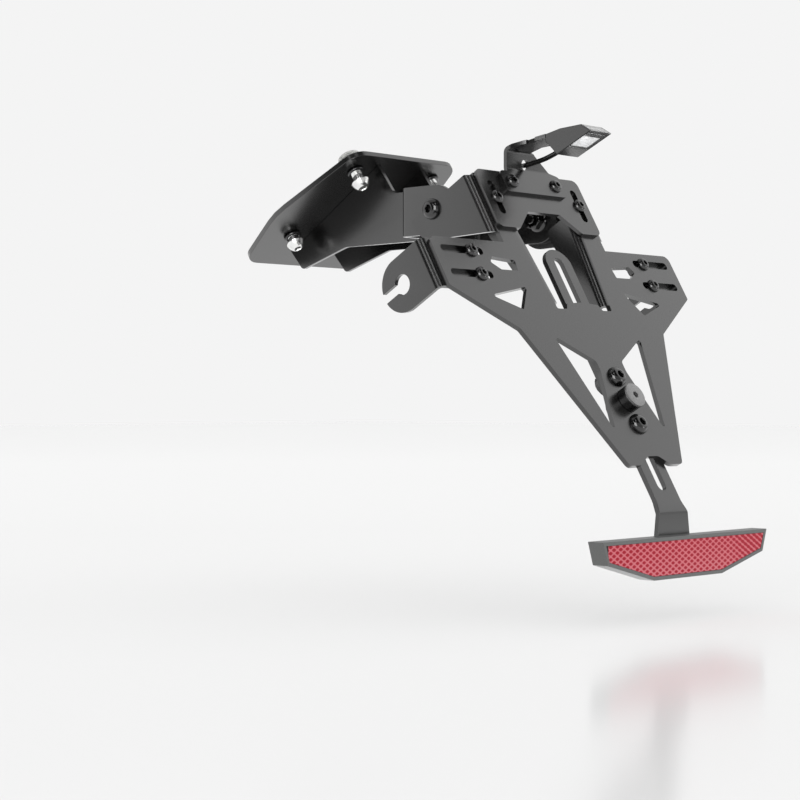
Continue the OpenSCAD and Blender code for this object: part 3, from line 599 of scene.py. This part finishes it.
def tube(name, route, radius, finish, columns=20, rows=90):
    """A circle carried along a smooth route: points p(t) + r (cos a * side + sin a * up)."""
    step = np.linalg.norm(np.diff(route, axis=0), axis=1)
    along = np.concatenate([[0], np.cumsum(step)])
    t = np.linspace(0, along[-1], rows)
    path = np.stack([np.interp(t, along, route[:, k]) for k in range(3)], 1)
    for _ in range(6):
        path[1:-1] = (path[:-2] + 2 * path[1:-1] + path[2:]) / 4
    heading = np.gradient(path, axis=0)
    heading /= np.linalg.norm(heading, axis=1)[:, None]
    side = np.cross(heading, (0.3, 0.2, 1))
    side /= np.linalg.norm(side, axis=1)[:, None]
    up = np.cross(side, heading)
    angle = np.linspace(0, 2 * np.pi, columns, endpoint=False)
    ring = np.cos(angle)[None, :, None] * side[:, None] + np.sin(angle)[None, :, None] * up[:, None]
    return grid_mesh(name, [path[:, None] + radius * ring], finish)


lead = tube("lamp_lead_sheath", lead_route, LEAD_D / 2, cable_sheath())
stands_for(lead, "light", "lamp_lead")

# Indicator brackets
# Two folded 2.5 mm brackets with a keyhole for the stem of an indicator. Each is held by
# two M4 bolts that slide in the long slots of a wing.

SLOT_BOLT_X = 0.0694
SLOT_PITCH = 0.0137
small_bolt = bolt_rings(SMALL_D, SMALL_HEAD_D, shank_length(SMALL_D, 2 * SHEET_T))

for side, sign in (("left", -1), ("right", 1)):
    body = "indicator_" + side
    softened("indicator_bracket_" + side, body, black_coat)
    heads = [placed(on_sheet(sign * SLOT_BOLT_X, y, 0), out_sheet) for y in (0, -SLOT_PITCH)]
    nuts = [placed(on_sheet(sign * SLOT_BOLT_X, y, -2 * SHEET_T), out_sheet) for y in (0, -SLOT_PITCH)]
    fasten("indicator_bolts_" + side + "_turned", "indicator_bolts_" + side, body, bolt_black,
           heads, [small_bolt] * 2)
    fasten("indicator_nuts_" + side + "_turned", "indicator_nuts_" + side, body, bolt_black,
           nuts, [nut_rings(SMALL_D)] * 2)

# Reflector arm
# A strap of the same coated sheet with a long slot, folded upright at its foot into the
# tab that carries the reflector. The two clamp bolts hold it at any height.

softened("reflector_arm", "reflector", black_coat)

# Reflector
# A dark grey moulded housing with two studs through the tab, and a red lens of small
# corner prisms let into its rear face inside a narrow rim.

PRISM_ACROSS, PRISM_UP = 0.00513, 0.0029
FAR_END = 0.02  # Where the streaks of the far end begin, right of the middle
LENS_MIDDLE = -0.187
# Width of the painted shade along the lens's left end, by the rim
LEFT_SHADE_W = 0.0016
STUD_X, STUD_DROP = 0.008, 0.0055


def housing_plastic():
    """Dark grey moulding, satin, with a fine grain."""
    material, nodes, links, shader = new_material("reflector_grey")
    grain = noise(nodes, links, 1500, 3)
    drift(nodes, links, shader, "Base Color", grain, (0.075, 0.078, 0.076), (0.095, 0.098, 0.096))
    socket(shader, "Roughness", 0.42)
    relief(nodes, links, shader, grain, 0.00004, 0.25)
    return material


def lens_red():
    """Red prisms: a diamond lattice of deep red corners on a paler red field.

    With u across and v up, the lattice is |cos(pi (u/p + v/q)) * cos(pi (u/p - v/q))|. Towards
    the right end it runs into slanting streaks, it deepens upwards, and the left end has a painted shade,
    near black."""
    material, nodes, links, shader = new_material("reflector_red")
    place = nodes.new("ShaderNodeTexCoord")
    parts = nodes.new("ShaderNodeSeparateXYZ")
    links.new(place.outputs["Object"], parts.inputs[0])
    across, upwards = parts.outputs["X"], parts.outputs["Z"]

    def calc(kind, a, b=0.0):
        node = nodes.new("ShaderNodeMath")
        node.operation = kind
        for k, value in enumerate((a, b)):
            if isinstance(value, float):
                node.inputs[k].default_value = value
            else:
                links.new(value, node.inputs[k])
        return node.outputs[0]

    u = calc("MULTIPLY", across, math.pi / PRISM_ACROSS)
    v = calc("MULTIPLY", upwards, math.pi / PRISM_UP)
    slant = calc("COSINE", calc("ADD", u, v))
    corners = calc("ABSOLUTE", calc("MULTIPLY", slant, calc("COSINE", calc("SUBTRACT", u, v))))
    past = calc("MAXIMUM", calc("MULTIPLY", calc("SUBTRACT", across, FAR_END), 22.0), 0.0)
    streaks = calc("MULTIPLY", calc("ABSOLUTE", slant), calc("MINIMUM", past, 0.6))
    rise = calc("MULTIPLY", calc("SUBTRACT", upwards, LENS_MIDDLE), 9.0)
    red = calc("MINIMUM", calc("ADD", calc("MAXIMUM", corners, streaks), rise), 0.9)
    # Painted shade: along the left end by the rim the colour goes near black, the last stop of the ramp
    # below.
    left_shade = calc("LESS_THAN", across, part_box("reflector_lens")[0][0] + LEFT_SHADE_W)
    depth = calc("MAXIMUM", red, left_shade)
    colour = ramp(nodes, links, depth, [
        (0.0, (0.68, 0.19, 0.22)), (0.36, (0.62, 0.12, 0.15)), (0.47, (0.5, 0.02, 0.05)),
        (0.55, (0.42, 0.0, 0.02)), (0.91, (0.36, 0.0, 0.012)), (0.99, (0.015, 0.004, 0.004))])
    links.new(colour, shader.inputs["Base Color"])
    socket(shader, "Roughness", 0.12)
    socket(shader, "Specular IOR Level", 0.12)
    relief(nodes, links, shader, depth, 0.0002, 0.3)
    return material


softened("reflector_housing", "reflector", housing_plastic(), 0.0004)
softened("reflector_lens", "reflector", lens_red(), 0.0001)
tab_rear = on_pivot(0, -0.11982, -0.1641)
fasten("reflector_nuts_turned", "reflector_nuts", "reflector", bolt_black,
       [placed(tab_rear + np.array([x, SHEET_T, -STUD_DROP]), (0, -1, 0)) for x in (-STUD_X, STUD_X)],
       [nut_rings(SMALL_D)] * 2)

# Studio
# A pale glossy floor under the hanging part, a white world and two weak soft lamps. Cards and
# curved dark flags that only gloss sees draw the highlights and the dark folds. The camera
# stands level, 46 degrees to the left of straight behind.

WORLD_LIGHT = 0.95
BACKDROP = 0.905
FLOOR_Z, FLOOR_REACH = -0.218, 6.0
FLOOR_GLOW = 1.7  # What gloss sees of the floor
AIM = (0, -0.1, -0.1)
LAMP_SIZE = 0.4
VIEW_TURN = math.radians(46)
CAMERA_PLACE = (-0.7701, -0.7757, -0.1116)
CAMERA_LENS = 86.64


def seen_straight(nodes, links):
    """1 for the rays of the camera, of gloss and of glass, and 0 for those that light the part."""
    path = nodes.new("ShaderNodeLightPath")
    seen = path.outputs["Is Camera Ray"]
    for other in ("Is Glossy Ray", "Is Transmission Ray"):
        greater = nodes.new("ShaderNodeMath")
        greater.operation = "MAXIMUM"
        links.new(seen, greater.inputs[0])
        links.new(path.outputs[other], greater.inputs[1])
        seen = greater.outputs[0]
    return seen


world = bpy.data.worlds.new("studio")
bpy.context.scene.world = world
world.use_nodes = True
nodes, links = world.node_tree.nodes, world.node_tree.links
nodes.clear()
dim, bright = nodes.new("ShaderNodeBackground"), nodes.new("ShaderNodeBackground")
mix, out = nodes.new("ShaderNodeMixShader"), nodes.new("ShaderNodeOutputWorld")
dim.inputs["Color"].default_value = (1, 1, 1, 1)
dim.inputs["Strength"].default_value = WORLD_LIGHT
bright.inputs["Color"].default_value = (BACKDROP, BACKDROP, BACKDROP, 1)
bright.inputs["Strength"].default_value = 1.0
links.new(seen_straight(nodes, links), mix.inputs[0])
links.new(dim.outputs[0], mix.inputs[1])
links.new(bright.outputs[0], mix.inputs[2])
links.new(mix.outputs[0], out.inputs[0])

material, nodes, links, shader = new_material("pale_floor")
socket(shader, "Base Color", (0.93, 0.93, 0.93, 1))
socket(shader, "Roughness", 0.16)
socket(shader, "IOR", 1.35)
surface = shader.outputs[0].links[0].to_socket
path, glow = nodes.new("ShaderNodeLightPath"), nodes.new("ShaderNodeEmission")
glow.inputs["Strength"].default_value = FLOOR_GLOW
mix = nodes.new("ShaderNodeMixShader")
links.new(path.outputs["Is Glossy Ray"], mix.inputs[0])
links.new(shader.outputs[0], mix.inputs[1])
links.new(glow.outputs[0], mix.inputs[2])
links.new(mix.outputs[0], surface)
x, y = np.meshgrid((-FLOOR_REACH, FLOOR_REACH), (-FLOOR_REACH, FLOOR_REACH))
open_sheet("floor", np.stack([x, y, FLOOR_Z + 0 * x], -1), material)


def soft_lamp(name, place, size, power):
    """A square area lamp at place, turned to the part."""
    light = bpy.data.lights.new(name, "AREA")
    light.shape = "SQUARE"
    light.size = size
    light.energy = power
    away = np.array(place) - np.array(AIM)
    linked(name, light).matrix_world = mathutils.Matrix(placed(place, away).tolist())


soft_lamp("key_lamp", (1.0, -1.5, 0.1), LAMP_SIZE, 2)
soft_lamp("side_lamp", (-1.5, 1.2, 1.0), LAMP_SIZE, 1.5)


def gloss_only(name, grid, colour, roughness, glow):
    """A sheet of the stage that only gloss sees: it lights nothing and throws no shadow."""
    material, nodes, links, shader = new_material(name)
    socket(shader, "Base Color", (colour, colour, colour, 1))
    socket(shader, "Roughness", roughness)
    socket(shader, "Emission Color", (1, 1, 1, 1))
    socket(shader, "Emission Strength", glow)
    sheet = open_sheet(name, grid, material)
    sheet.visible_diffuse = False
    sheet.visible_camera = False
    sheet.visible_shadow = False


def white_card(name, towards, away, across, glow):
    """A square glowing card, across wide and away off, square to the line towards it."""
    out = np.array(towards) / np.linalg.norm(towards)
    side = np.cross(out, (0, 0, 1))
    side /= np.linalg.norm(side)
    up = np.cross(side, out)
    a, b = np.meshgrid((-1, 1), (-1, 1))
    grid = away * out + across / 2 * (a[..., None] * side + b[..., None] * up)
    gloss_only(name, grid, colour=0, roughness=0.5, glow=glow)


white_card("card_for_rear_faces", (0.719, -0.348, 0.602), 1.7, 1.7, 1.55)
white_card("card_for_side_faces", (-0.719, 0.695, 0.12), 1.7, 1.7, 1.7)
white_card("spark_high", (-0.351, -0.579, 0.737), 1.4, 0.3, 4)
white_card("spark_left", (-0.843, -0.184, 0.507), 1.4, 0.28, 4)
white_card("spark_by_camera", (-0.768, -0.593, 0.16), 1.35, 0.8, 9)


def dark_flag(name, first, last, turns, half_width, away, columns=12):
    """A curved matte black flag: a strip of a sphere, away off and half_width to each side.

    It lies where the camera's line of sight goes after a fold whose normal turns from first to
    last: look - 2 (normal . look) normal, over the given turns in degrees."""
    look = np.array([math.sin(VIEW_TURN), math.cos(VIEW_TURN), 0])
    turn = np.radians(np.linspace(*turns, columns))[:, None]
    normal = np.cos(turn) * np.array(first) + np.sin(turn) * np.array(last)
    centre = look - 2 * (normal @ look)[:, None] * normal
    side = np.cross(centre, np.gradient(centre, axis=0))
    side /= np.linalg.norm(side, axis=1)[:, None]
    spread = half_width * np.array([-1, -0.3, 0.3, 1])[:, None, None]
    grid = away * (np.cos(spread) * centre + np.sin(spread) * side)
    gloss_only(name, grid, colour=0.01, roughness=0.9, glow=0)


for number, turns in enumerate(((14, 34), (38, 55), (59, 77))):
    dark_flag("flag_for_folds_%d" % number, out_sheet, (-1, 0, 0), turns, 0.4, 1.5)

camera_data = bpy.data.cameras.new("camera")
camera_data.sensor_width = 36
camera_data.lens = CAMERA_LENS
camera_data.clip_start, camera_data.clip_end = 0.01, 50
camera = linked("camera", camera_data)
camera.location = CAMERA_PLACE
camera.rotation_euler = (math.radians(90), 0, -VIEW_TURN)
bpy.context.scene.camera = camera
bpy.context.scene.view_settings.view_transform = "Standard"
